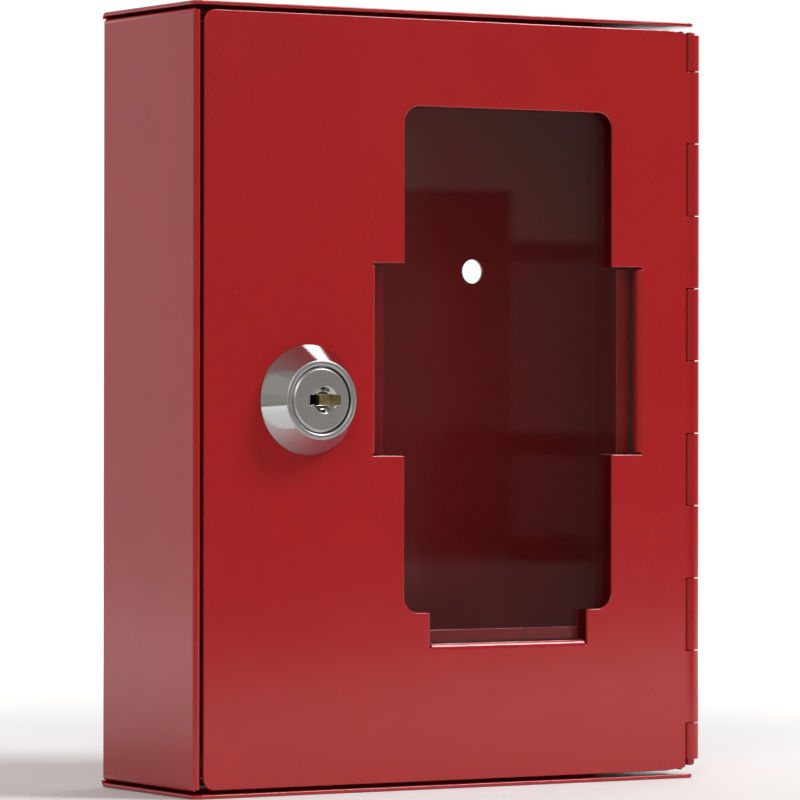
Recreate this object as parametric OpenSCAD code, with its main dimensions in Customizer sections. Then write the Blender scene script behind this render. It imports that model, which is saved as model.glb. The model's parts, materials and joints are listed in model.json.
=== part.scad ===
// Emergency key box: a folded steel wall box with a glazed, key-locked door.
// Millimetres, +Z up. The origin is the middle of the bottom wall's outer face,
// +X is to the right seen from the front, and the front faces -Y.

/* [Box] */
// Width over the side walls
box_w = 121; // [119:0.5:126]
// Height over the top and bottom walls
box_h = 160; // [158:0.5:164]
// Depth from the front edges to the back face
box_d = 40; // [38:0.5:50]
// Thickness of the sheet steel
sheet_t = 0.8; // [0.7:0.05:0.9]
// Outside radius of every fold in the sheet
fold_r = 1.1; // [1:0.1:1.3]
// Open seam between a side wall and the top or bottom wall
seam_gap = 0.6; // [0.4:0.1:0.8]
// Width of the tabs folded inwards from the ends of the side walls
tab_w = 8; // [5:0.5:10]
// How far the left wall's front edge is hemmed inwards
hem_depth = 8; // [6:0.5:10]
// Radius of the front corners of the top and bottom walls
wall_corner_r = 2; // [1:0.5:3]
// Distance between the two wall screw holes
screw_spacing = 57; // [50:1:64]
// Height of the wall screw holes above the middle of the box
screw_rise = 27.7; // [20:0.1:40]
// Diameter of the wall screw holes
screw_hole_d = 5.2; // [4:0.1:6]

/* [Door] */
// Gap between the door and the hem on its free side
door_side_gap = 0.7; // [0.6:0.05:0.9]
// Gap between the door and the top and bottom walls
door_end_gap = 0.9; // [0.7:0.1:1.2]
// Radius of the door's two free corners
door_corner_r = 2.5; // [1.5:0.5:4]
// Height lost by the sloped door ends beside the hinge
end_slope_drop = 0.6; // [0.3:0.1:0.8]
// Length of the sloped door ends beside the hinge
end_slope_run = 5; // [4:0.5:8]

/* [Window] */
// Middle of the window, right of the middle of the box
window_x = 13.9; // [13:0.1:14.5]
// Middle of the window, above the middle of the box
window_rise = 8.3; // [6:0.1:10]
// Width of the tall part of the window
window_w = 50.8; // [46:0.2:52]
// Height of the tall part of the window
window_h = 104; // [90:1:108]
// Corner radius of the tall part of the window
window_corner_r = 3.5; // [2:0.5:5]
// Width between the two upright channels
channel_span = 64.1; // [62:0.1:65]
// Height of the side arms of the window
arm_h = 39.4; // [30:0.2:46]
// Width of the notch at the bottom of the window
notch_w = 38.5; // [30:0.5:42]
// Depth of the bottom notch, down to the channel's floor
notch_drop = 6.4; // [5.5:0.1:7]
// Radius of the corners beside the folded channels
relief_r = 0.4; // [0.3:0.1:1]
// Distance from the door's front to the face of a channel lip
channel_depth = 4; // [3.8:0.1:4.4]
// Width of an upright channel's lip, with its fold
lip_w = 4.3; // [3.6:0.1:4.6]
// Width of the bottom channel's lip, with its fold
notch_lip_w = 3.5; // [3:0.1:4.6]
// Thickness of the glass pane
pane_t = 2; // [1.8:0.1:2]
// How far the pane reaches above the window
pane_rise = 7; // [4:0.5:8]

/* [Hinge] */
// Diameter of the hinge pin
pin_d = 2.2; // [2:0.1:2.2]
// Radial clearance between the pin and its knuckles
pin_clearance = 0.05; // [0.03:0.01:0.08]
// Length of a whole knuckle with its gap
knuckle_pitch = 15.35; // [15:0.05:15.4]
// Gap between neighbouring knuckles
knuckle_gap = 0.2; // [0.15:0.05:0.3]
// Height of the knuckle row's middle above the middle of the box
hinge_rise = 0.7; // [0:0.1:0.8]
// How far the pin stands out at the top
pin_top = 0.7; // [0.5:0.1:0.8]
// How far the pin stands out at the bottom
pin_bottom = 1.4; // [1:0.1:1.5]

/* [Lock] */
// Distance from the left wall's outer face to the lock's axis
lock_inset = 26.25; // [26:0.05:27]
// Diameter of the conical lock head at the door
head_d = 22.4; // [21:0.2:24]
// Diameter of the flat ring at the front of the lock head
ring_d = 16.4; // [16:0.2:17]
// Height of the lock head in front of the door
head_h = 5.7; // [5.4:0.1:6]
// Diameter of the lock's threaded body
body_d = 16; // [15.6:0.1:16]
// Width across the flats of the threaded body
body_flats = 14; // [13.8:0.1:14.2]
// Length of the threaded body behind the door's front
body_len = 13; // [12.8:0.1:14]
// Diameter of the plug's face
plug_face_d = 13.3; // [13:0.1:13.3]
// Diameter of the plug's barrel
plug_d = 10.4; // [10.3:0.1:10.4]
// Width of the key slot
key_slot_w = 7.2; // [6.8:0.1:7.2]
// Height of the key slot
key_slot_h = 2.1; // [2:0.1:2.2]
// How far the key slot's middle lies right of the lock's axis
key_slot_shift = 0.8; // [0.6:0.1:0.8]
// Distance from the lock's axis to the tip of the cam
cam_reach = 22; // [21:0.5:22.5]
// Thickness of the cam
cam_t = 2; // [1.6:0.1:2]

/* [Inside] */
// Height of the strike bracket
strike_h = 26; // [24:1:40]
// Height of the key hook's middle above the middle of the box
hook_rise = 42; // [30:1:50]
// Width of the key hook
hook_w = 6; // [4:0.5:6]

/* [Hidden] */
$fn = 64;
WIRE_SIDES = 6;                                 // sides of the fine spring wire
RINGS_PER_TURN = 12;                            // rings of the swept spring wire in one turn
OVERLAP = 0.4;                                  // how deep joined shapes run into each other

// Box
front_y = -box_d / 2;
back_y = box_d / 2;
mid_z = box_h / 2;
inside_r = fold_r - sheet_t;
wall_z0 = sheet_t + seam_gap;
wall_z1 = box_h - wall_z0;
wall_x = box_w / 2;
hem_face_x = -wall_x + 2 * sheet_t;
hem_corner = 0.5;
right_tab_y = -9;                               // front end of the right wall's tabs

// Hinge
bore_r = pin_d / 2 + pin_clearance;
knuckle_r = bore_r + sheet_t;
knuckle_inset = 0.3;                            // from the wall's outer face to the pin's axis
hinge_x = wall_x - knuckle_inset;
hinge_y = front_y + knuckle_r;
whole_knuckles = 9;
hinge_len = (whole_knuckles + 1) * knuckle_pitch;
hinge_z0 = mid_z + hinge_rise - hinge_len / 2;
knuckle_clearance = 0.4;                        // room for a turning knuckle
wall_front_y = hinge_y + knuckle_r + knuckle_clearance;
roll_slit = 0.3;                                // gap left beside the end of a rolled knuckle
roll_slit_start = 0.6;
knuckle_set_back = 0.3;                         // step from the door's front to its knuckles

// Door
door_x0 = hem_face_x + door_side_gap;
door_z0 = sheet_t + door_end_gap;
door_z1 = box_h - door_z0;
door_cut_gap = 0.3;                             // between the door and the body's knuckles
door_cut_x = hinge_x - knuckle_r - door_cut_gap;
door_back_y = front_y + sheet_t;

// Window
window_z = mid_z + window_rise;
arm_x0 = window_x - channel_span / 2;
arm_x1 = window_x + channel_span / 2;
arm_tab_h = arm_h - 2 * relief_r;
notch_floor_z = window_z - window_h / 2 - notch_drop;
notch_tab_w = notch_w - 2 * relief_r;
pane_gap = 0.2;
pane_play = 0.3 * inside_r + 0.02;              // keeps the pane's edges out of the folds
pane_back_y = front_y + channel_depth - pane_play;
pane_z0 = notch_floor_z + pane_play;
pane_z1 = window_z + window_h / 2 + pane_rise;

// Lock: lengths along the axis are measured inwards from the door's front
lock_x = -wall_x + lock_inset;
head_recess_z = -2.6;                           // floor of the recess for the plug's face
plug_play = 0.05;                               // round the plug's barrel
face_play = 0.15;                               // round the plug's face
end_play = 0.1;                                 // along the axis, at the plug's two ends
plug_face_z = -head_h + end_play;
plug_end_z = body_len + 1;                      // shoulder where the drive square starts
plug_bore_r = plug_d / 2 + plug_play;
plug_recess_r = plug_face_d / 2 + face_play;
clip_groove_z = body_len + end_play;
clip_groove_w = 0.6;
clip_groove_depth = 0.9;
drive_w = 6.5;
drive_root = 0.2;                               // the drive square starts inside the shoulder
drive_clearance = 0.05;
stop_t = 0.8;
cam_z = plug_end_z + stop_t;
cam_washer_t = 0.6;
cam_screw_r = 1.65;
washer_t = 0.8;
nut_t = 3;
nut_flats = 20;
stop_depth = 1.2;
stop_r0 = 6.8;
stop_r1 = 7.7;
stop_half_angle = 10;
stop_play_angle = 2;
stop_room = 0.2;                                // between the stop's tab and the housing
stop_angle = 45;                                // direction of the stop's tab at rest
turn_angle = 90;

// Wafers
wafer_count = 5;
wafer_t = 0.8;
wafer_w = 9.2;
wafer_h = 4.4;
wafer_pitch = 2.2;
wafer_first_z = -1.7;
wafer_play = 0.05;
key_cuts = [1.6, 2.3, 1.2, 2.6, 1.9];           // right edge of each wafer's window
ear_w = 0.6;                                    // ear that the spring pushes, left of the axis
ear_drop = 3.4;
ear_travel = 1.2;
spring_r = 0.42;
spring_wire_r = 0.11;
spring_play = 0.08;
spring_turns = 6;
spring_axis_y = 2.95;
spring_end_x = 3.6;
groove_r = 6.1;                                 // the housing's grooves for the wafers
groove_play = 0.1;
groove_w = wafer_h + 2 * groove_play;
groove_end_z = body_len - 3;

// ---------- plane shapes ----------

module rounded_rect(x0, y0, x1, y1, r) {
    translate([x0 + r, y0]) square([x1 - x0 - 2 * r, y1 - y0]);
    translate([x0, y0 + r]) square([x1 - x0, y1 - y0 - 2 * r]);
    for (x = [x0 + r, x1 - r])
        for (y = [y0 + r, y1 - r])
            translate([x, y]) circle(r);
}

// What is left outside an arc in the corner of a square at the origin
module corner_waste(r) {
    difference() {
        translate([-1, -1]) square(r + 1);
        translate([r, r]) circle(r);
    }
}

// A channel of sheet, open towards -Y: across in X, its web along the back
module folded_channel(width) {
    difference() {
        rounded_rect(-width / 2, front_y - 10, width / 2, back_y, fold_r);
        rounded_rect(-width / 2 + sheet_t, front_y - 12, width / 2 - sheet_t,
                     back_y - sheet_t, inside_r);
        translate([-width, front_y - 13]) square([2 * width, 13]);
    }
}

// A tab folded back and then inwards. x runs away from the window with 0 on the
// channel's inner face, and y is the depth behind the door's front.
module channel_profile(lip) {
    difference() {
        union() {
            square([fold_r + OVERLAP, sheet_t]);
            square([sheet_t, channel_depth + sheet_t]);
            translate([sheet_t - lip, channel_depth]) square([lip, sheet_t]);
            translate([sheet_t, sheet_t]) square(inside_r);
            translate([-inside_r, channel_depth - inside_r]) square(inside_r);
        }
        corner_waste(fold_r);
        translate([sheet_t, channel_depth + sheet_t]) rotate(180) corner_waste(fold_r);
        translate([fold_r, fold_r]) circle(inside_r);
        translate([-inside_r, channel_depth - inside_r]) circle(inside_r);
    }
}

// ---------- hinge knuckles ----------

// Bottom and top of knuckle i, counted from the bottom; the two end ones are half as long
function knuckle_z0(i) = hinge_z0 + (i == 0 ? 0 : (i - 0.5) * knuckle_pitch + knuckle_gap / 2);
function knuckle_z1(i) = hinge_z0 + (i == whole_knuckles + 1 ? hinge_len
                                     : (i + 0.5) * knuckle_pitch - knuckle_gap / 2);

module body_knuckle_profile() {
    difference() {
        union() {
            circle(knuckle_r);
            translate([wall_x - sheet_t - hinge_x, 0]) square([sheet_t, knuckle_r + 2]);
        }
        circle(bore_r);
        translate([wall_x - hinge_x, roll_slit_start]) square([roll_slit, knuckle_r + 2]);
    }
}

module door_knuckle_profile() {
    difference() {
        union() {
            circle(knuckle_r);
            translate([door_cut_x - hinge_x - OVERLAP, knuckle_set_back - knuckle_r])
                square([hinge_x - door_cut_x + OVERLAP, sheet_t]);
        }
        circle(bore_r);
        translate([-knuckle_r - 1, knuckle_set_back - bore_r])
            square([knuckle_r + roll_slit, roll_slit]);
    }
}

module knuckles(first) {
    for (i = [first : 2 : whole_knuckles + 1])
        translate([hinge_x, hinge_y, knuckle_z0(i)])
            linear_extrude(knuckle_z1(i) - knuckle_z0(i))
                children();
}

// ---------- box ----------

// Left wall's closed hem: the sheet turns round the front edge and lies on itself
module hem_profile() {
    translate([-wall_x + sheet_t, front_y + sheet_t]) circle(sheet_t);
    translate([-wall_x, front_y + sheet_t]) square([2 * sheet_t, hem_depth - sheet_t]);
}

// Tab at the end of a side wall, in X and Z: the wall's outer face is at x = 0 and its
// end at y = 0
module wall_tab_profile() {
    difference() {
        union() {
            translate([fold_r - OVERLAP, -sheet_t]) square([tab_w - fold_r + OVERLAP, sheet_t]);
            translate([sheet_t - OVERLAP, -fold_r]) square(inside_r + OVERLAP);
        }
        translate([fold_r, -fold_r]) circle(inside_r);
    }
}

module wall_tab(y0) {
    translate([0, back_y - OVERLAP, 0])
        rotate([90, 0, 0])
            linear_extrude(back_y - OVERLAP - y0)
                wall_tab_profile();
}

// The ends of the walls are rounded where they fold into their tabs
module wall_end_rounding() {
    translate([0, back_y + 1, 0])
        rotate([90, 0, 0])
            linear_extrude(box_d + 2)
                rounded_rect(-wall_x, wall_z0, wall_x, wall_z1, fold_r);
}

module side_walls() {
    intersection() {
        wall_end_rounding();
        union() {
            translate([0, 0, wall_z0])
                linear_extrude(wall_z1 - wall_z0)
                    difference() {
                        folded_channel(box_w);
                        translate([-wall_x - 1, front_y - 1]) square(sheet_t + 2);
                        translate([wall_x - sheet_t - 1, front_y - 1])
                            square([sheet_t + 2, wall_front_y - front_y + 1]);
                    }
            translate([0, 0, wall_z0 + hem_corner])
                linear_extrude(wall_z1 - wall_z0 - 2 * hem_corner)
                    hem_profile();
            translate([-wall_x, front_y + sheet_t, wall_z0])
                cube([sheet_t, hem_depth / 2, wall_z1 - wall_z0]);
            for (side = [0, 1])
                translate([0, 0, side * box_h])
                    mirror([0, 0, 1 - side])
                        translate([0, 0, -wall_z0]) {
                            translate([-wall_x, 0, 0]) wall_tab(front_y + hem_depth);
                            translate([wall_x, 0, 0]) mirror([1, 0, 0]) wall_tab(right_tab_y);
                        }
        }
    }
}

// Top and bottom walls with the back between them, folded from one strip
module end_walls() {
    intersection() {
        rotate([90, 0, 90])
            translate([0, 0, -wall_x])
                linear_extrude(box_w)
                    translate([0, mid_z]) rotate(90) mirror([0, 1]) folded_channel(box_h);
        union() {
            translate([0, 0, -1]) linear_extrude(wall_z0 + 1) end_wall_plan();
            translate([0, 0, wall_z1]) linear_extrude(wall_z0 + 1) end_wall_plan();
            translate([-wall_x + fold_r, 0, 0]) cube([box_w - 2 * fold_r, box_d, box_h]);
        }
    }
}

module end_wall_plan() {
    rounded_rect(-wall_x, front_y, wall_x, back_y, wall_corner_r);
    translate([-wall_x, 0]) square([box_w, back_y]);
}

module body_shell() {
    color("firebrick")
        difference() {
            union() {
                side_walls();
                end_walls();
                knuckles(0) body_knuckle_profile();
            }
            for (side = [-1, 1])
                translate([side * screw_spacing / 2, back_y + 1, mid_z + screw_rise])
                    rotate([90, 0, 0]) cylinder(d = screw_hole_d, h = sheet_t + 2);
        }
}

// Bracket on the hem: its toe stops the door and its rear lip holds the cam
module strike_profile() {
    strike_t = 1;
    stop_lip = 5;
    latch_lip = 5;
    toe = 3;
    door_rest_gap = 0.1;
    cam_gap = 0.4;
    y0 = door_back_y + door_rest_gap;
    y1 = front_y + cam_z - cam_gap;
    translate([hem_face_x, y0 + toe]) square([strike_t, y1 - y0 - toe]);
    translate([hem_face_x, y0 + toe]) square([stop_lip, strike_t]);
    translate([hem_face_x + stop_lip - strike_t, y0]) square([strike_t, toe + strike_t]);
    translate([hem_face_x, y1 - strike_t]) square([latch_lip, strike_t]);
}

module strike_bracket() {
    color("firebrick")
        translate([0, 0, mid_z - strike_h / 2])
            linear_extrude(strike_h)
                strike_profile();
}

module key_hook() {
    hook_t = 1;
    hook_reach = 9;
    plate_h = 16;
    tip_h = 5;
    color("silver")
        translate([-hook_w / 2, back_y - sheet_t, mid_z + hook_rise])
            rotate([90, 0, 90])
                linear_extrude(hook_w) {
                    translate([-hook_t, -plate_h / 2]) square([hook_t, plate_h]);
                    translate([-hook_reach, -plate_h / 2]) square([hook_reach, hook_t]);
                    translate([-hook_reach, -plate_h / 2]) square([hook_t, tip_h]);
                }
}

// ---------- door ----------

module window_outline() {
    rounded_rect(window_x - window_w / 2, window_z - window_h / 2,
                 window_x + window_w / 2, window_z + window_h / 2, window_corner_r);
    rounded_rect(arm_x0 - fold_r, window_z - arm_h / 2,
                 arm_x1 + fold_r, window_z + arm_h / 2, relief_r);
    rounded_rect(window_x - notch_w / 2, notch_floor_z - fold_r,
                 window_x + notch_w / 2, window_z, relief_r);
}

module lock_hole() {
    play = 0.1;
    intersection() {
        circle(body_d / 2 + play);
        square([body_flats + 2 * play, body_d + 2], center = true);
    }
}

module door_outline() {
    difference() {
        polygon([[door_x0, door_z0],
                 [door_cut_x - end_slope_run, door_z0],
                 [door_cut_x, door_z0 + end_slope_drop],
                 [door_cut_x, door_z1 - end_slope_drop],
                 [door_cut_x - end_slope_run, door_z1],
                 [door_x0, door_z1]]);
        translate([door_x0, door_z0]) corner_waste(door_corner_r);
        translate([door_x0, door_z1]) rotate(-90) corner_waste(door_corner_r);
        window_outline();
        translate([lock_x, mid_z]) lock_hole();
    }
}

module side_channel() {
    linear_extrude(arm_tab_h) channel_profile(lip_w);
}

module door_panel() {
    color("firebrick") {
        translate([0, door_back_y, 0])
            rotate([90, 0, 0])
                linear_extrude(sheet_t)
                    door_outline();
        translate([arm_x1, front_y, window_z - arm_tab_h / 2]) side_channel();
        translate([arm_x0, front_y, window_z - arm_tab_h / 2]) mirror([1, 0, 0]) side_channel();
        translate([window_x - notch_tab_w / 2, front_y, notch_floor_z])
            rotate([0, 90, 0])
                linear_extrude(notch_tab_w)
                    channel_profile(notch_lip_w);
        knuckles(1) door_knuckle_profile();
    }
}

module glass_pane() {
    edge = 0.3;
    color("lightcyan", 0.4)
        translate([0, pane_back_y, 0])
            rotate([90, 0, 0])
                linear_extrude(pane_t)
                    rounded_rect(arm_x0 + pane_gap, pane_z0, arm_x1 - pane_gap, pane_z1, edge);
}

module hinge_pin() {
    tip = 0.3;
    length = hinge_len + pin_top + pin_bottom;
    color("firebrick")
        translate([hinge_x, hinge_y, hinge_z0 - pin_bottom])
            rotate_extrude()
                polygon([[0, 0], [pin_d / 2 - tip, 0], [pin_d / 2, tip],
                         [pin_d / 2, length - tip], [pin_d / 2 - tip, length], [0, length]]);
}

// ---------- lock ----------

// Local z runs inwards along the lock's axis, local x is +X and local y is down
module lock_frame() {
    translate([lock_x, front_y, mid_z]) rotate([-90, 0, 0]) children();
}

module centred_box(w, h, z0, z1) {
    translate([-w / 2, -h / 2, z0]) cube([w, h, z1 - z0]);
}

module sector(radius, angle_0, angle_1) {
    polygon(concat([[0, 0]], [for (a = [angle_0 : (angle_1 - angle_0) / 12 : angle_1])
                              radius * [cos(a), sin(a)]]));
}

// Points of a quarter arc about a centre, from the angle a0 to a0 + 90
function quarter(centre, r, a0) =
    [for (k = [0 : 6]) centre + r * [cos(a0 + 15 * k), sin(a0 + 15 * k)]];

module lock_housing() {
    ring_round = 0.5;
    ring_r = ring_d / 2;
    crest_z = ring_round - head_h;
    rim_t = 0.3;
    stop_angle_0 = stop_angle - stop_half_angle - stop_play_angle;
    stop_angle_1 = stop_angle + turn_angle + stop_half_angle + stop_play_angle;
    color("gainsboro")
        lock_frame()
            difference() {
                rotate_extrude()
                    polygon(concat([[plug_bore_r, body_len], [plug_bore_r, head_recess_z],
                                    [plug_recess_r, head_recess_z]],
                                   quarter([plug_recess_r + ring_round, crest_z],
                                           ring_round, 180),
                                   quarter([ring_r - ring_round, crest_z], ring_round, 270),
                                   [[head_d / 2, -rim_t], [head_d / 2, 0], [body_d / 2, 0],
                                    [body_d / 2, body_len]]));
                for (side = [-1, 1])
                    translate([side * body_flats - body_flats / 2, -body_d, 0])
                        cube([body_flats, 2 * body_d, body_len + 1]);
                centred_box(2 * groove_r, groove_w, head_recess_z, groove_end_z);
                centred_box(groove_w, 2 * groove_r, head_recess_z, groove_end_z);
                translate([0, 0, body_len - stop_depth])
                    linear_extrude(stop_depth + 1)
                        difference() {
                            sector(body_d, stop_angle_0, stop_angle_1);
                            circle(stop_r0 - stop_room);
                        }
            }
}

module lock_washer() {
    tooth_gap = 1.4;
    tooth_len = 1.1;
    teeth = 14;
    washer_r = 10.6;
    hole_play = 0.15;
    color("silver")
        lock_frame()
            translate([0, 0, sheet_t])
                linear_extrude(washer_t)
                    difference() {
                        circle(washer_r);
                        circle(body_d / 2 + hole_play);
                        for (i = [0 : teeth - 1])
                            rotate(i * 360 / teeth)
                                translate([washer_r - tooth_len, -tooth_gap / 2])
                                    square([2 * tooth_len, tooth_gap]);
                    }
}

module lock_nut() {
    corner_r = nut_flats / 2 / cos(30);
    face_rim = 0.3;                             // the flat face is this much wider than the flats
    face_r = nut_flats / 2 + face_rim;
    chamfer_h = 0.7;
    thread_play = 0.1;
    color("silver")
        lock_frame()
            translate([0, 0, sheet_t + washer_t])
                difference() {
                    intersection() {
                        cylinder(r = corner_r, h = nut_t, $fn = 6);
                        rotate_extrude()
                            polygon([[0, 0], [face_r, 0], [corner_r, chamfer_h],
                                     [corner_r, nut_t - chamfer_h], [face_r, nut_t],
                                     [0, nut_t]]);
                    }
                    translate([0, 0, -1]) cylinder(d = body_d + thread_play, h = nut_t + 2);
                }
}

function wafer_z(i) = wafer_first_z + i * wafer_pitch;

module wafer_room(i) {
    slot_t = wafer_t + 2 * wafer_play;
    z0 = wafer_z(i) - wafer_play;
    centred_box(plug_d + 2, wafer_h + 2 * wafer_play, z0, z0 + slot_t);
    translate([-ear_w - ear_travel, 0, z0])
        cube([ear_w + ear_travel + 2 * wafer_play, ear_drop + 2 * wafer_play, slot_t]);
    translate([0, spring_axis_y, wafer_z(i) + wafer_t / 2])
        rotate([0, 90, 0])
            cylinder(r = spring_r + spring_wire_r + spring_play, h = spring_end_x);
}

module lock_plug() {
    chamfer = 0.5;
    mouth_r = 2.75;
    mouth_taper = 0.9;
    mouth_depth = 1.1;
    step_z = head_recess_z - end_play;
    mouth_lift = 0.01;                          // the mouth's cutter starts in front of the face
    neck_r = plug_d / 2 - clip_groove_depth;
    clip_groove_end_z = clip_groove_z + clip_groove_w;
    slot_end_z = body_len - 4.5;
    tapped_depth = 8;
    cam_stand_out = 0.2;                        // the cam stands out past the drive square
    plug_back_z = plug_end_z + stop_t + cam_t - cam_stand_out;
    color("lightgray")
        lock_frame()
            difference() {
                union() {
                    rotate_extrude()
                        polygon([[0, plug_face_z], [plug_face_d / 2 - chamfer, plug_face_z],
                                 [plug_face_d / 2, plug_face_z + chamfer],
                                 [plug_face_d / 2, step_z], [plug_d / 2, step_z],
                                 [plug_d / 2, clip_groove_z], [neck_r, clip_groove_z],
                                 [neck_r, clip_groove_end_z], [plug_d / 2, clip_groove_end_z],
                                 [plug_d / 2, plug_end_z], [0, plug_end_z]]);
                    centred_box(drive_w, drive_w, plug_end_z - drive_root, plug_back_z);
                }
                translate([key_slot_shift, 0, plug_face_z - mouth_lift])
                    cylinder(r1 = mouth_r, r2 = mouth_r - mouth_taper, h = mouth_depth);
                translate([key_slot_shift, 0, 0])
                    centred_box(key_slot_w, key_slot_h, plug_face_z - 1, slot_end_z);
                for (i = [0 : wafer_count - 1])
                    wafer_room(i);
                translate([0, 0, plug_back_z - tapped_depth])
                    cylinder(r = cam_screw_r + plug_play, h = tapped_depth + 1);
            }
}

module wafer(i) {
    key_room = 0.1;                             // the wafer's window is this much past the slot
    window_x0 = key_slot_shift - key_slot_w / 2 - 2 * key_room;
    window_h2 = key_slot_h / 2 + key_room;
    color("goldenrod")
        lock_frame()
            translate([0, 0, wafer_z(i)])
                linear_extrude(wafer_t)
                    difference() {
                        union() {
                            square([wafer_w, wafer_h], center = true);
                            translate([-ear_w, 0]) square([ear_w, ear_drop]);
                        }
                        translate([window_x0, -window_h2])
                            square([key_cuts[i] - window_x0, 2 * window_h2]);
                    }
}

// One ring of points round the wire, a number of turns along a coil that runs along +X
function coil_ring(turn, length) =
    [for (k = [0 : WIRE_SIDES - 1])
        let (a = 360 * k / WIRE_SIDES, r = spring_r + spring_wire_r * cos(a))
        [length * turn / spring_turns + spring_wire_r * (1 + sin(a)),
         r * cos(360 * turn), r * sin(360 * turn)]];

module coil_spring(length) {
    steps = spring_turns * RINGS_PER_TURN;
    sides = WIRE_SIDES;
    span = length - 2 * spring_wire_r;
    rings = [for (s = [0 : steps]) coil_ring(s / RINGS_PER_TURN, span)];
    points = [for (ring = rings) each ring];
    walls = [for (s = [0 : steps - 1]) for (k = [0 : sides - 1])
             let (n = (k + 1) % sides)
             [s * sides + k, s * sides + n, (s + 1) * sides + n, (s + 1) * sides + k]];
    start_cap = [[for (k = [sides - 1 : -1 : 0]) k]];
    end_cap = [[for (k = [0 : sides - 1]) steps * sides + k]];
    polyhedron(points, concat(walls, start_cap, end_cap), convexity = 6);
}

// Pushes the wafer's ear, which ends at the lock's axis, away from the pocket's end
module wafer_spring(i) {
    color("darkgoldenrod")
        lock_frame()
            translate([0, spring_axis_y, wafer_z(i) + wafer_t / 2])
                coil_spring(spring_end_x - wafer_play);
}

module plug_clip() {
    clip_play = 0.05;
    clip_r = 6.45;
    mouth_w = 5.2;
    color("dimgray")
        lock_frame()
            translate([0, 0, clip_groove_z + clip_play])
                linear_extrude(clip_groove_w - 2 * clip_play)
                    difference() {
                        circle(clip_r);
                        circle(plug_d / 2 - clip_groove_depth + clip_play);
                        translate([-mouth_w / 2, 0]) square([mouth_w, clip_r + 1]);
                    }
}

module drive_hole() {
    square(drive_w + 2 * drive_clearance, center = true);
}

module turn_stop() {
    tab_play = 0.2;
    tab_len = stop_depth - tab_play + plug_end_z - body_len;
    color("silver")
        lock_frame() {
            translate([0, 0, plug_end_z])
                linear_extrude(stop_t)
                    difference() {
                        circle(stop_r1);
                        drive_hole();
                    }
            translate([0, 0, plug_end_z - tab_len])
                linear_extrude(tab_len + OVERLAP)
                    intersection() {
                        difference() {
                            circle(stop_r1);
                            circle(stop_r0);
                        }
                        sector(body_d, stop_angle - stop_half_angle, stop_angle + stop_half_angle);
                    }
        }
}

module cam() {
    hub_r = 8;
    arm_r = 5.5;
    color("silver")
        lock_frame()
            translate([0, 0, cam_z])
                linear_extrude(cam_t)
                    difference() {
                        union() {
                            circle(hub_r);
                            translate([-arm_r, 0]) square([2 * arm_r, cam_reach - arm_r]);
                            translate([0, cam_reach - arm_r]) circle(arm_r);
                        }
                        drive_hole();
                    }
}

// Split spring washer
module cam_washer() {
    outer_r = 4.6;
    hole_r = 2.1;
    split_w = 0.5;
    color("silver")
        lock_frame()
            translate([0, 0, cam_z + cam_t])
                linear_extrude(cam_washer_t)
                    difference() {
                        circle(outer_r);
                        circle(hole_r);
                        translate([-split_w / 2, 0]) square([split_w, outer_r + 1]);
                    }
}

module cam_screw() {
    head_r = 3.8;
    head_chamfer = 0.8;
    screw_head_h = 2.4;
    shank_len = 7;
    cross_len = 4;
    cross_w = 0.9;
    cross_floor = 1;
    head_z = cam_z + cam_t + cam_washer_t;
    color("silver")
        lock_frame()
            difference() {
                union() {
                    translate([0, 0, head_z - shank_len]) cylinder(r = cam_screw_r, h = shank_len + 1);
                    translate([0, 0, head_z])
                        rotate_extrude()
                            polygon([[0, 0], [head_r, 0], [head_r, screw_head_h - head_chamfer],
                                     [head_r - head_chamfer, screw_head_h], [0, screw_head_h]]);
                }
                for (turn = [0, 90])
                    rotate(turn)
                        centred_box(cross_len, cross_w, head_z + cross_floor,
                                    head_z + screw_head_h + 1);
            }
}

body_shell();
door_panel();
hinge_pin();
glass_pane();
strike_bracket();
key_hook();
lock_housing();
lock_washer();
lock_nut();
lock_plug();
wafer(0);  // wafer_1
wafer(1);  // wafer_2
wafer(2);  // wafer_3
wafer(3);  // wafer_4
wafer(4);  // wafer_5
wafer_spring(0);  // wafer_spring_1
wafer_spring(1);  // wafer_spring_2
wafer_spring(2);  // wafer_spring_3
wafer_spring(3);  // wafer_spring_4
wafer_spring(4);  // wafer_spring_5
plug_clip();
turn_stop();
cam();
cam_washer();
cam_screw();
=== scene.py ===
"""Looks of the emergency key box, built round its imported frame: red powder-coated sheet,
a glass pane, a chromed cam lock, and the small zinc and brass pieces inside."""

import json
import math

import bmesh
import bpy
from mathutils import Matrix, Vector


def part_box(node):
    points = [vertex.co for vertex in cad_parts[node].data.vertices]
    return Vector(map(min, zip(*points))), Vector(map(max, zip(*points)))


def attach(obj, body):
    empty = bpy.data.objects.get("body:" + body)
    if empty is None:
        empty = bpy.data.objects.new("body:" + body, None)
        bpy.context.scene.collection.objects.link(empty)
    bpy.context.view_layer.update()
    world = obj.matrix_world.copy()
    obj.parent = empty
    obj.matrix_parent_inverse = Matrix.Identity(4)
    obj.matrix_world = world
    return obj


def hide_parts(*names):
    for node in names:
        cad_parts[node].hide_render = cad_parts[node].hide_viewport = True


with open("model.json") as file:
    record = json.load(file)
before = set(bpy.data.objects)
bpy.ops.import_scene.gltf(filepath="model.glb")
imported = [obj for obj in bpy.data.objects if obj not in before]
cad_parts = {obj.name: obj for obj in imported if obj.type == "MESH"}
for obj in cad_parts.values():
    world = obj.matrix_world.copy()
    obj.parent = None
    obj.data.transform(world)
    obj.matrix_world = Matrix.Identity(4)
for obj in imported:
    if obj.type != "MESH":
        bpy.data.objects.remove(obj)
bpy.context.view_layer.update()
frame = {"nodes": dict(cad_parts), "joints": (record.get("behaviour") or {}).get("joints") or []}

MM = 0.001


# ---------- places, all taken from the frame ----------

def joint_named(name):
    return next(joint for joint in frame["joints"] if joint["name"] == name)


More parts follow.
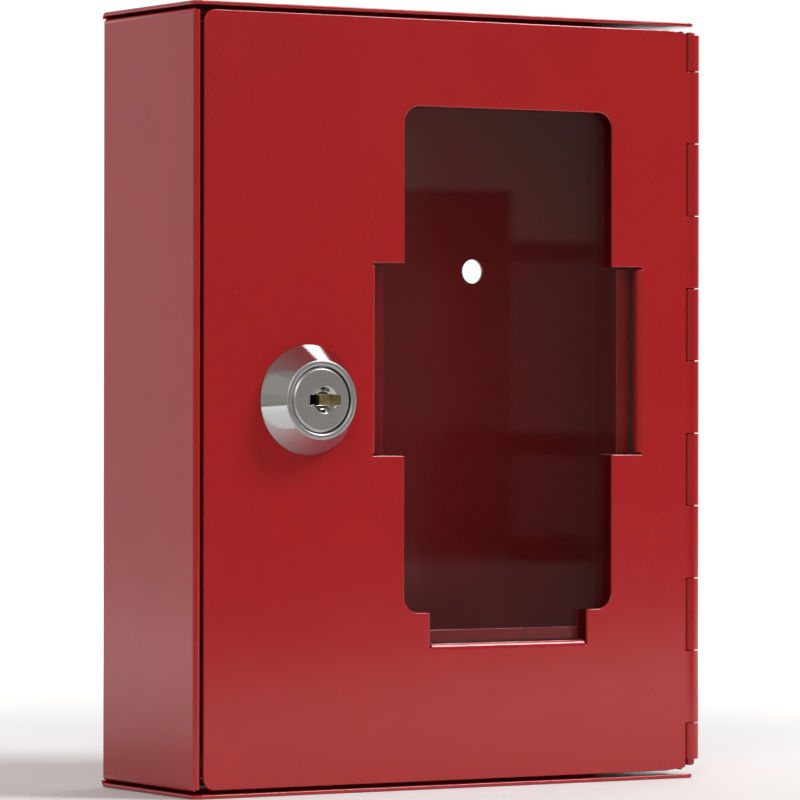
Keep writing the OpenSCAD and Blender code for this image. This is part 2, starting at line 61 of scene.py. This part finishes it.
BOX_LOW, BOX_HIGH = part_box("body_shell")
BOX_HEIGHT = BOX_HIGH.z
BOX_MIDDLE = Vector((0, 0, BOX_HEIGHT / 2))
HOUSING_LOW, HOUSING_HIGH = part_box("lock_housing")
DOOR_FRONT_Y = BOX_LOW.y
LOCK_AXIS = Vector(joint_named("lock_turn")["pos_m"])

# Sizes that the part's source holds and the frame doesn't
SHEET = 0.8 * MM
RIGHT_TAB_FRONT_Y = -9 * MM            # front ends of the right wall's tabs
TAB_FOLD_X = 59.6 * MM                 # within the fold between a side wall and its tab
DISH_OFFSET = 0.8 * MM                 # the key slot and its dish lie right of the lock's axis
DISH_RADIUS = 2.75 * MM
FACE_PLAY = 0.15 * MM                  # between the plug's face and the ring round it
PLUG_BORE_RADIUS = 5.25 * MM
FACE_RECESS = 2.6 * MM                 # the recess for the face ends this far before the door
HOUSING_RADIUS = 8 * MM
HOUSING_HALF_FLATS = 7 * MM
DISH_CENTRE = LOCK_AXIS + Vector((DISH_OFFSET, 0, 0))

# Edge roundings
FULL_ROUNDING = 0.25 * MM              # a sheared sheet edge
LIP_ROUNDING = 0.2 * MM
FINE_ROUNDING = 0.08 * MM              # where full rounding would meet the next fold
WELD = 0.002 * MM                      # points closer than this are one


# ---------- mesh helpers ----------

def new_object(name, bm):
    """Turns a bmesh into an object in the scene and frees the bmesh."""
    mesh = bpy.data.meshes.new(name)
    bm.to_mesh(mesh)
    bm.free()
    piece = bpy.data.objects.new(name, mesh)
    bpy.context.scene.collection.objects.link(piece)
    return piece


def shade(piece, smooth_angle=30):
    """Smooth shading that keeps edges sharper than smooth_angle, with flat faces held flat."""
    mesh = piece.data
    mesh.polygons.foreach_set("use_smooth", [True] * len(mesh.polygons))
    mesh.set_sharp_from_angle(angle=math.radians(smooth_angle))
    weighted = piece.modifiers.new("flat faces stay flat", "WEIGHTED_NORMAL")
    weighted.keep_sharp = True
    weighted.weight = 100


def everywhere(place):
    return True


def merge_flat(bm):
    """Joins double points, and the triangles of each flat face into one face."""
    bmesh.ops.remove_doubles(bm, verts=bm.verts, dist=WELD)
    bmesh.ops.dissolve_limit(bm, angle_limit=math.radians(0.2), verts=bm.verts, edges=bm.edges)


def softened(node, *passes, crease=35):
    """A copy of a CAD node with its edges rounded as real sheet and turned edges are.

    Each pass is (radius, where): the sharp edges whose ends both lie where the function
    where(place) says so get that radius. The rounded faces carry the attribute edge,
    1 there and 0 elsewhere, which the paint uses for a painted highlight, a paler colour along edges.
    Where two roundings meet they can overshoot by under 0.1 mm, so points are held in the
    node's box.
    """
    bm = bmesh.new()
    bm.from_mesh(frame["nodes"][node].data)
    edge_layer = bm.faces.layers.float.new("edge")
    merge_flat(bm)
    for radius, where in passes:
        round_edges(bm, edge_layer, radius, where, crease)
    low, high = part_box(node)
    for vert in bm.verts:
        vert.co = [min(max(value, least), most) for value, least, most in zip(vert.co, low, high)]
    piece = new_object(node + "_finished", bm)
    shade(piece)
    return piece


def round_edges(bm, edge_layer, radius, where, crease):
    """One pass of softened: edges that an earlier pass has made or touched stay as they are."""
    bm.normal_update()
    sharp = [edge for edge in bm.edges
             if len(edge.link_faces) == 2
             and not any(face[edge_layer] for face in edge.link_faces)
             and edge.calc_face_angle(0) > math.radians(crease)
             and all(where(vert.co) for vert in edge.verts)]
    made = bmesh.ops.bevel(bm, geom=sharp, offset=radius, offset_type="OFFSET", segments=3,
                           profile=0.5, affect="EDGES", clamp_overlap=False)
    for face in made["faces"]:
        face[edge_layer] = 1.0


def finish_piece(piece, body, slot, material, *nodes):
    """Material and body for one piece, and the CAD nodes that it stands for; slot is not used."""
    piece.data.materials.clear()
    piece.data.materials.append(material)
    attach(piece, body)
    if nodes:
        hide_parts(*nodes)


# ---------- material helpers ----------

class Shader:
    """A small wrapper that makes node materials readable: one principled shader and its inputs."""

    def __init__(self, name):
        self.material = bpy.data.materials.new(name)
        self.material.use_nodes = True
        self.nodes = self.material.node_tree.nodes
        self.links = self.material.node_tree.links
        self.main = self.nodes["Principled BSDF"]
        self.place = self.nodes.new("ShaderNodeTexCoord").outputs["Object"]

    def set(self, name, value):
        self.main.inputs[name].default_value = value

    def put(self, socket, name):
        self.links.new(socket, self.main.inputs[name])

    def noise(self, size, detail=2.0, roughness=0.5, stretch=(1, 1, 1), shift=0.0):
        """Noise whose blobs are about size metres across; the output is 0 to 1."""
        mapping = self.nodes.new("ShaderNodeMapping")
        mapping.inputs["Scale"].default_value = [s / size for s in stretch]
        mapping.inputs["Location"].default_value = (shift, shift * 0.7, shift * 1.3)
        self.links.new(self.place, mapping.inputs["Vector"])
        noise = self.nodes.new("ShaderNodeTexNoise")
        noise.inputs["Scale"].default_value = 1.0
        noise.inputs["Detail"].default_value = detail
        noise.inputs["Roughness"].default_value = roughness
        self.links.new(mapping.outputs["Vector"], noise.inputs["Vector"])
        return noise.outputs["Fac"]

    def ramp(self, socket, *stops):
        """Maps a value to grey or colour; each stop is (position, value or rgb)."""
        ramp = self.nodes.new("ShaderNodeValToRGB")
        elements = ramp.color_ramp.elements
        while len(elements) < len(stops):
            elements.new(0.5)
        for element, (position, value) in zip(elements, stops):
            element.position = position
            element.color = (*value, 1) if hasattr(value, "__len__") else (value,) * 3 + (1,)
        self.links.new(socket, ramp.inputs["Fac"])
        return ramp.outputs["Color"]

    def mix(self, factor, first, second, mode="MIX"):
        """Colour mix; factor, first and second are sockets or constants."""
        mix = self.nodes.new("ShaderNodeMix")
        mix.data_type = "RGBA"
        mix.blend_type = mode
        for index, value in ((0, factor), (6, first), (7, second)):
            if hasattr(value, "is_linked"):
                self.links.new(value, mix.inputs[index])
            elif index == 0:
                mix.inputs[index].default_value = value
            else:
                mix.inputs[index].default_value = (*value, 1)
        return mix.outputs[2]

    def math(self, operation, first, second=0.0):
        node = self.nodes.new("ShaderNodeMath")
        node.operation = operation
        for index, value in enumerate((first, second)):
            if hasattr(value, "is_linked"):
                self.links.new(value, node.inputs[index])
            else:
                node.inputs[index].default_value = value
        return node.outputs[0]

    def span(self, socket, low, high):
        """0 below low, 1 above high, smooth in between."""
        return self.slope(socket, low, high, "SMOOTHSTEP")

    def slope(self, socket, low, high, shape="LINEAR"):
        """0 below low, 1 above high, straight in between."""
        remap = self.nodes.new("ShaderNodeMapRange")
        remap.interpolation_type = shape
        remap.inputs["From Min"].default_value = low
        remap.inputs["From Max"].default_value = high
        self.links.new(socket, remap.inputs["Value"])
        return remap.outputs["Result"]

    def bump(self, height, depth, below=None):
        """Bump of depth metres where height goes from 0 to 1, over an earlier bump if given."""
        bump = self.nodes.new("ShaderNodeBump")
        bump.inputs["Strength"].default_value = 1.0
        bump.inputs["Distance"].default_value = depth
        self.links.new(height, bump.inputs["Height"])
        if below is not None:
            self.links.new(below, bump.inputs["Normal"])
        return bump.outputs["Normal"]

    def attribute(self, name):
        node = self.nodes.new("ShaderNodeAttribute")
        node.attribute_name = name
        return node.outputs["Fac"]

    def from_axis(self, centre):
        """Distance from the line that runs through centre from front to back."""
        offset = self.vector_math("SUBTRACT", self.place, centre)
        return self.vector_math("LENGTH", self.vector_math("MULTIPLY", offset, (1, 0, 1)))

    def vector_math(self, operation, first, second=(0, 0, 0)):
        node = self.nodes.new("ShaderNodeVectorMath")
        node.operation = operation
        self.links.new(first, node.inputs[0])
        node.inputs[1].default_value = second
        return node.outputs["Value" if operation in ("LENGTH", "DOT_PRODUCT") else "Vector"]


# ---------- materials ----------

def powder_coat():
    """Satin red powder coat: fine orange peel, a slow drift in tone, and a painted highlight, a paler
    colour over the rounded edges.
    """
    s = Shader("red powder coat")
    s.set("IOR", 1.5)
    drift = s.ramp(s.noise(14 * MM, 3), (0.35, 0.0), (0.65, 1.0))
    grain = s.ramp(s.noise(0.7 * MM, 2, shift=4), (0.38, 0.0), (0.66, 1.0))
    colour = s.mix(drift, (0.355, 0.0120, 0.0138), (0.370, 0.0135, 0.0150))
    colour = s.mix(s.math("MULTIPLY", grain, 0.22), colour, (0.43, 0.024, 0.026))
    # painted highlight: the rounded edges get a paler red, standing in for the glint of light on them
    colour = s.mix(s.math("MULTIPLY", s.attribute("edge"), 0.25), colour, (0.44, 0.040, 0.042))
    s.put(colour, "Base Color")
    s.put(s.ramp(s.noise(3 * MM, 2, shift=9), (0.3, 0.13), (0.7, 0.17)), "Roughness")
    peel = s.bump(s.noise(1.3 * MM, 1, shift=2), 0.006 * MM)
    s.put(s.bump(s.noise(0.4 * MM, 1, shift=6), 0.0012 * MM, peel), "Normal")
    return s.material


def polished_chrome():
    """Bright chrome plate over a die casting, with faint waves; dull where keys rub the ring."""
    s = Shader("polished chrome")
    s.set("Metallic", 1.0)
    worn = s.attribute("worn")
    plate = s.mix(s.noise(4 * MM, 2), (0.55, 0.56, 0.575), (0.61, 0.615, 0.62))
    s.put(s.mix(worn, plate, (0.43, 0.43, 0.43)), "Base Color")
    polish = s.ramp(s.noise(1.5 * MM, 3, shift=3), (0.3, 0.07), (0.75, 0.13))
    rubbed = s.ramp(s.noise(0.5 * MM, 3, shift=8), (0.3, 0.34), (0.75, 0.46))
    s.put(s.mix(worn, polish, rubbed), "Roughness")
    s.put(s.bump(s.noise(2.5 * MM, 1), 0.0015 * MM), "Normal")
    return s.material


def satin_nickel():
    """Fine matt nickel on the plug's face, and bright metal in the dish round its key slot."""
    s = Shader("satin nickel")
    s.set("Metallic", 1.0)
    s.put(s.mix(s.noise(3 * MM, 3), (0.50, 0.485, 0.475), (0.56, 0.545, 0.535)), "Base Color")
    satin = s.ramp(s.noise(0.4 * MM, 3, shift=5), (0.3, 0.30), (0.7, 0.38))
    blend = 0.05 * MM
    face = s.span(s.from_axis(DISH_CENTRE), DISH_RADIUS - blend, DISH_RADIUS + blend)
    s.put(s.mix(face, (0.09, 0.09, 0.09), satin), "Roughness")
    s.put(s.bump(s.noise(0.12 * MM, 2), 0.0016 * MM), "Normal")
    return s.material


def zinc_plate():
    """Bright zinc: cool grey with a faint yellow and blue cast in patches."""
    s = Shader("zinc plate")
    s.set("Metallic", 1.0)
    patches = s.ramp(s.noise(5 * MM, 3), (0.3, (0.56, 0.57, 0.60)), (0.5, (0.62, 0.62, 0.60)),
                     (0.7, (0.60, 0.58, 0.50)))
    s.put(patches, "Base Color")
    s.put(s.ramp(s.noise(1.2 * MM, 3, shift=1), (0.3, 0.26), (0.7, 0.36)), "Roughness")
    s.put(s.bump(s.noise(0.4 * MM, 2), 0.0015 * MM), "Normal")
    return s.material


def spring_steel():
    """Dark oiled steel of the retaining clip."""
    s = Shader("oiled spring steel")
    s.set("Metallic", 1.0)
    s.put(s.mix(s.noise(2 * MM, 2), (0.10, 0.10, 0.11), (0.20, 0.19, 0.18)), "Base Color")
    s.put(s.ramp(s.noise(0.8 * MM, 2, shift=2), (0.3, 0.30), (0.7, 0.48)), "Roughness")
    return s.material


def yellow_metal(name, dull, bright, grain):
    """Brass and bronze: warm metal, duller in the hollows of its grain."""
    s = Shader(name)
    s.set("Metallic", 1.0)
    s.put(s.mix(s.noise(grain, 3), dull, bright), "Base Color")
    s.put(s.ramp(s.noise(grain / 2, 2, shift=3), (0.3, 0.22), (0.7, 0.42)), "Roughness")
    s.put(s.bump(s.noise(grain / 4, 2), 0.002 * MM), "Normal")
    return s.material


def clear_glass():
    """Clear float glass with a trace of green and very slight draw waves."""
    s = Shader("float glass")
    s.set("Transmission Weight", 1.0)
    s.set("IOR", 1.5)
    s.set("Roughness", 0.0)
    s.put(s.mix(s.noise(30 * MM, 1), (0.93, 0.97, 0.955), (0.95, 0.98, 0.965)), "Base Color")
    s.put(s.bump(s.noise(28 * MM, 0, stretch=(1, 1, 0.3)), 0.004 * MM), "Normal")
    return s.material


def glass_edge_in_painted_shade():
    """The pane's cut edges: rough, and dark with painted shade, tinted with the glass's own green."""
    s = Shader("painted shade on ground glass edge")
    # painted shade: this near-black colour stands for the shadow along the pane's edges
    s.put(s.mix(s.noise(1.5 * MM, 3), (0.030, 0.018, 0.014), (0.075, 0.045, 0.036)), "Base Color")
    s.put(s.ramp(s.noise(0.6 * MM, 2, shift=4), (0.3, 0.35), (0.7, 0.60)), "Roughness")
    s.put(s.bump(s.noise(0.5 * MM, 2), 0.02 * MM), "Normal")
    return s.material


def pale_floor():
    """Matt studio paper, lit up away from the box so that it runs into the white behind."""
    glow_start = 0.12
    glow_full = 0.6
    glow = 0.6
    s = Shader("studio paper")
    s.put(s.mix(s.noise(40 * MM, 2), (0.84, 0.84, 0.84), (0.86, 0.86, 0.86)), "Base Color")
    s.set("Roughness", 0.9)
    distance = s.vector_math("LENGTH", s.place)
    s.set("Emission Color", (1, 1, 1, 1))
    s.put(s.math("MULTIPLY", s.span(distance, glow_start, glow_full), glow), "Emission Strength")
    return s.material


# ---------- camera, light and floor ----------

VIEW_ANGLE = math.radians(30.84)       # how far the camera stands to the left of the door's front
VIEW_DISTANCE = 1056.5 * MM            # from the middle of the box
VIEW_OFFSET = 0.58 * MM                # the box stands this far right of the line of sight
VIEW_ROLL = math.radians(0.08)
VIEW_LENS = 227.0                      # a long lens: the field is about nine degrees wide
AHEAD = Vector((math.sin(VIEW_ANGLE), math.cos(VIEW_ANGLE), 0))
RIGHT = Vector((math.cos(VIEW_ANGLE), -math.sin(VIEW_ANGLE), 0))


def make_camera():
    data = bpy.data.cameras.new("camera")
    data.lens = VIEW_LENS
    data.sensor_width = 36.0
    data.clip_start = 0.05
    data.clip_end = 50.0
    camera = bpy.data.objects.new("camera", data)
    camera.location = BOX_MIDDLE - AHEAD * VIEW_DISTANCE - RIGHT * VIEW_OFFSET
    camera.rotation_euler = (math.pi / 2, 0, -VIEW_ANGLE)
    camera.rotation_euler.rotate_axis("Z", VIEW_ROLL)
    bpy.context.scene.collection.objects.link(camera)
    bpy.context.scene.camera = camera


def area_light(name, place, width, height, watts):
    """A soft light aimed at the middle of the box; places and sizes are in metres."""
    data = bpy.data.lights.new(name, "AREA")
    data.shape = "RECTANGLE"
    data.size = width
    data.size_y = height
    data.energy = watts
    light = bpy.data.objects.new(name, data)
    light.location = place
    light.rotation_euler = (BOX_MIDDLE - Vector(place)).to_track_quat("-Z", "Y").to_euler()
    bpy.context.scene.collection.objects.link(light)


# The studio, seen along the line of sight: a white sheet lies under the box and rises
# behind it, the room in front is dark, and the wall on the left is grey.
DOOR_MIRROR = Vector((AHEAD.x, -AHEAD.y, 0))       # where the door's reflections come from
DOOR_MIRROR_RIGHT = Vector((RIGHT.x, -RIGHT.y, 0))

PAPER_FRONT = -0.24                    # edges of the sheet, metres from the middle of the box
PAPER_BACK = 2.6
PAPER_LEFT = -0.87
PAPER_RIGHT = 1.1


class WorldShader(Shader):
    """The world's nodes, with the same helpers as a material."""

    def __init__(self):
        world = bpy.data.worlds.new("studio")
        bpy.context.scene.world = world
        world.use_nodes = True
        self.nodes = world.node_tree.nodes
        self.links = world.node_tree.links
        self.main = self.nodes["Background"]
        self.place = self.nodes.new("ShaderNodeTexCoord").outputs["Generated"]

    def along(self, direction):
        """Cosine between the looked-at direction and a given one."""
        return self.vector_math("DOT_PRODUCT", self.place, direction)


def reflected_room(s, up):
    """The dark room that the door and the glass mirror: a pale upper wall, darker furniture
    on the left, a window bay on the right, and a table in front of the sheet."""
    across = s.along(DOOR_MIRROR_RIGHT)
    height = s.slope(up, -0.06, 0.06)
    dark = (0.035, 0.028, 0.026)
    table = (0.16, 0.14, 0.145)
    wall = (0.22, 0.20, 0.18)
    left = s.ramp(height, (0.00, table), (0.225, table), (0.245, (0.07, 0.05, 0.05)),
                  (0.265, dark), (0.38, (0.045, 0.038, 0.036)), (0.44, dark),
                  (0.47, (0.085, 0.07, 0.065)), (0.70, (0.085, 0.06, 0.055)),
                  (0.76, (0.050, 0.04, 0.038)), (0.840, (0.055, 0.043, 0.04)),
                  (0.856, (0.21, 0.20, 0.185)), (1.00, wall))
    right = s.ramp(height, (0.00, table), (0.225, table), (0.240, dark), (0.270, dark),
                   (0.285, (0.085, 0.07, 0.066)), (0.40, (0.095, 0.08, 0.075)),
                   (0.415, dark), (0.440, dark), (0.455, (0.13, 0.115, 0.11)),
                   (0.722, (0.13, 0.12, 0.11)), (0.735, (0.06, 0.05, 0.045)),
                   (0.755, (0.06, 0.05, 0.045)), (0.770, (0.205, 0.19, 0.175)), (1.00, wall))
    room = s.mix(s.span(across, 0.0205, 0.0235), left, right)
    return s.mix(s.math("MULTIPLY", s.span(across, 0.033, 0.040), 0.55), room, (0.04, 0.036, 0.035))


def make_world():
    s = WorldShader()
    up = s.along((0, 0, 1))
    # to the left: a grey wall above a table
    left_wall = s.ramp(s.slope(up, -0.16, 0.14), (0.0, (0.33, 0.31, 0.28)),
                       (0.03, (0.13, 0.12, 0.10)), (0.07, (0.34, 0.34, 0.28)),
                       (0.90, (0.36, 0.36, 0.31)),
                       (0.94, (0.24, 0.24, 0.20)), (1.0, (0.43, 0.40, 0.36)))
    # behind the box: the white sheet, brightest right behind it
    sheet = s.ramp(s.span(s.along(AHEAD), 0.10, 1.00), (0.0, (0.66, 0.67, 0.68)),
                   (0.5, (0.80, 0.81, 0.83)), (0.85, (1.00, 1.00, 1.01)),
                   (0.95, (1.08, 1.08, 1.08)))
    seen = s.mix(s.span(s.along(AHEAD), -0.45, 0.10), left_wall, sheet)
    seen = s.mix(s.span(s.along(DOOR_MIRROR), 0.45, 0.80), seen, reflected_room(s, up))
    # overhead: a dim ceiling
    seen = s.mix(s.span(up, 0.60, 0.80), seen, (0.30, 0.285, 0.28))
    s.put(seen, "Color")
    s.set("Strength", 1.0)


def make_floor(material):
    """A sheet of white paper under the box, its edges square to the line of sight."""
    bm = bmesh.new()
    corners = [(PAPER_LEFT, PAPER_FRONT), (PAPER_RIGHT, PAPER_FRONT),
               (PAPER_RIGHT, PAPER_BACK), (PAPER_LEFT, PAPER_BACK)]
    drop = Vector((0, 0, -0.05 * MM))      # keeps the paper clear of the box's bottom wall
    bm.faces.new([bm.verts.new(RIGHT * across + AHEAD * along + drop) for across, along in corners])
    floor = new_object("floor", bm)
    floor.data.materials.append(material)


# ---------- the object ----------

def sheet_door():
    """The door: full edge rounding on the sheet, and finer edges on its knuckles and lips."""
    knuckle_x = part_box("hinge_pin")[0].x - 1.5 * MM
    panel_back_y = DOOR_FRONT_Y + 1.2 * SHEET

    def outline(place):
        return place.x < knuckle_x and place.y < panel_back_y

    def lips(place):
        return place.x < knuckle_x and place.y > panel_back_y

    return softened("door_panel", (FULL_ROUNDING, outline), (LIP_ROUNDING, lips),
                    (FINE_ROUNDING, everywhere))


def sheet_body():
    """The box: full edge rounding on the end walls, and finer edges on the rest."""

    def end_walls(place):
        return not 1.2 * SHEET < place.z < BOX_HEIGHT - 1.2 * SHEET

    def clear_of_tab_ends(place):
        """False at the front corners of the right wall's tabs, where edges are too short to round."""
        reach_x = 1.5 * MM
        reach_y = 0.3 * MM
        reach_z = 3 * MM
        across = abs(abs(place.x) - TAB_FOLD_X) < reach_x
        along = abs(place.y - RIGHT_TAB_FRONT_Y) < reach_y
        return not (across and along and not reach_z < place.z < BOX_HEIGHT - reach_z)

    return softened("body_shell", (FULL_ROUNDING, end_walls), (FINE_ROUNDING, clear_of_tab_ends))


def pane_with_edges(glass, ground):
    """The pane: clear faces, and ground edges all round in painted shade."""
    pane = softened("glass_pane", (0.12 * MM, everywhere))
    finish_piece(pane, "pane", "glass", glass, "glass_pane")
    pane.data.materials.append(ground)
    for face in pane.data.polygons:
        face.material_index = 0 if abs(face.normal.y) > 0.99 else 1


def arc(centre, radius, first, last, steps=8):
    """Points (distance from the axis, depth) along an arc, from one angle in degrees to another."""
    angles = [math.radians(first + (last - first) * step / steps) for step in range(steps + 1)]
    return [(centre[0] + radius * math.cos(a), centre[1] + radius * math.sin(a)) for a in angles]


def turned(bm, profile, sides=192):
    """Turns a closed profile round the lock's axis; depths run inwards from the door's front."""
    rings = []
    for distance, depth in profile:
        angles = [2 * math.pi * step / sides for step in range(sides)]
        rings.append([bm.verts.new((LOCK_AXIS.x + distance * math.cos(a), DOOR_FRONT_Y + depth,
                                    LOCK_AXIS.z + distance * math.sin(a))) for a in angles])
    bands = []
    for ring, following in zip(rings, rings[1:] + rings[:1]):
        corners = zip(ring, ring[1:] + ring[:1], following[1:] + following[:1], following)
        bands.append([bm.faces.new(corner) for corner in corners])
    bmesh.ops.recalc_face_normals(bm, faces=bm.faces)
    return bands


def lock_head():
    """The conical head in front of the door, with a rounded ring round the plug's face."""
    head_radius = (HOUSING_HIGH.x - HOUSING_LOW.x) / 2
    crest = HOUSING_LOW.y - DOOR_FRONT_Y
    plug_low, plug_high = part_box("lock_plug")
    inner = (plug_high.x - plug_low.x) / 2 + FACE_PLAY
    ring_width = 1.4 * MM
    rounding = 0.5 * MM
    rim = 0.3 * MM
    outer = inner + ring_width
    bm = bmesh.new()
    worn = bm.faces.layers.float.new("worn")
    ring = (arc((inner + rounding, crest + rounding), rounding, 180, 270)
            + arc((outer - rounding, crest + rounding), rounding, 270, 328))
    base = arc((head_radius - rim / 2, -rim / 2), rim / 2, -32, 90)
    mouth = [(PLUG_BORE_RADIUS, 0), (PLUG_BORE_RADIUS, -FACE_RECESS),
             (inner, -FACE_RECESS)]
    bands = turned(bm, mouth + ring + base)
    for band in bands[len(mouth):len(mouth) + len(ring) - 1]:
        for face in band:
            face[worn] = 1.0
    head = new_object("lock_head", bm)
    shade(head, smooth_angle=50)
    return head


def threaded_body():
    """The housing behind the door's front, its thread cut as close rings between the flats."""
    root_radius = HOUSING_RADIUS - 0.4 * MM
    pitch = 0.8 * MM
    thread_start = 4 * MM
    nearness = 0.01 * MM
    bm = bmesh.new()
    bm.from_mesh(frame["nodes"]["lock_housing"].data)
    merge_flat(bm)

    def cut(depth, clear):
        """Cuts across the lock's axis; clear drops what lies in front of the cut."""
        bmesh.ops.bisect_plane(bm, geom=bm.verts[:] + bm.edges[:] + bm.faces[:], dist=0.001 * MM,
                               plane_co=(0, DOOR_FRONT_Y + depth, 0), plane_no=(0, -1, 0),
                               clear_outer=clear)

    cut(0, True)
    open_edges = [edge for edge in bm.edges if edge.is_boundary]
    bmesh.ops.triangle_fill(bm, edges=open_edges, use_beauty=True)
    thread_end = HOUSING_HIGH.y - DOOR_FRONT_Y - pitch / 2
    turns = int((thread_end - thread_start) / pitch)
    for half in range(2 * turns + 1):
        cut(thread_start + half * pitch / 2, False)
    for vert in bm.verts:
        place = vert.co - LOCK_AXIS
        steps = (vert.co.y - DOOR_FRONT_Y - thread_start) / (pitch / 2)
        at_root = abs(steps - round(steps)) < 0.01 and round(steps) % 2 == 1
        distance = math.hypot(place.x, place.z)
        if not at_root or not 0 < steps < 2 * turns or distance < HOUSING_RADIUS - 3 * nearness:
            continue
        if abs(abs(place.x) - HOUSING_HALF_FLATS) < nearness:
            root_z = math.sqrt(root_radius ** 2 - place.x ** 2)
            vert.co.z = LOCK_AXIS.z + math.copysign(root_z, place.z)
        else:
            vert.co.x = LOCK_AXIS.x + place.x * root_radius / distance
            vert.co.z = LOCK_AXIS.z + place.z * root_radius / distance
    bmesh.ops.recalc_face_normals(bm, faces=bm.faces)
    body = new_object("lock_body", bm)
    shade(body)
    return body


def build():
    paint = powder_coat()
    chrome = polished_chrome()
    nickel = satin_nickel()
    zinc = zinc_plate()
    clip = spring_steel()
    brass = yellow_metal("punched brass", (0.66, 0.47, 0.22), (0.80, 0.60, 0.32), 1.2 * MM)
    bronze = yellow_metal("bronze wire", (0.36, 0.19, 0.08), (0.55, 0.33, 0.15), 0.8 * MM)

    pane_with_edges(clear_glass(), glass_edge_in_painted_shade())
    finish_piece(lock_head(), "door", "chrome", chrome, "lock_housing")
    finish_piece(threaded_body(), "door", "chrome", chrome, "lock_housing")
    finish_piece(sheet_body(), "box", "red_paint", paint, "body_shell")
    finish_piece(sheet_door(), "door", "red_paint", paint, "door_panel")
    pin = softened("hinge_pin", (0.15 * MM, everywhere))
    finish_piece(pin, "box", "red_paint", paint, "hinge_pin")
    for node, body, slot, material, radius in (
            ("strike_bracket", "box", "red_paint", paint, 0.25),
            ("key_hook", "box", "zinc_steel", zinc, 0.25),
            ("lock_plug", "plug", "satin_nickel", nickel, 0.08),
            ("lock_nut", "door", "zinc_steel", zinc, 0.2),
            ("lock_washer", "door", "zinc_steel", zinc, 0.12),
            ("cam", "plug", "zinc_steel", zinc, 0.2),
            ("turn_stop", "plug", "zinc_steel", zinc, 0.1),
            ("cam_washer", "plug", "zinc_steel", zinc, 0.1),
            ("cam_screw", "plug", "zinc_steel", zinc, 0.15),
            ("plug_clip", "plug", "clip_steel", clip, 0.08)):
        finish_piece(softened(node, (radius * MM, everywhere)), body, slot, material, node)
    for number in range(1, 6):
        node = f"wafer_{number}"
        finish_piece(softened(node, (0.06 * MM, everywhere)), "plug", "brass", brass, node)
        spring = frame["nodes"][f"wafer_spring_{number}"]
        spring.data.materials.clear()
        spring.data.materials.append(bronze)


scene = bpy.context.scene
scene.view_settings.view_transform = "Standard"
make_camera()
make_world()
make_floor(pale_floor())
area_light("softbox above", (0.86, -0.76, 1.27), width=0.5, height=0.6, watts=20)
area_light("softbox left", (-0.95, -1.25, 0.95), width=0.7, height=0.9, watts=8)
area_light("lamp behind", (0.72, 0.50, 1.45), width=0.22, height=0.25, watts=0.9)
build()
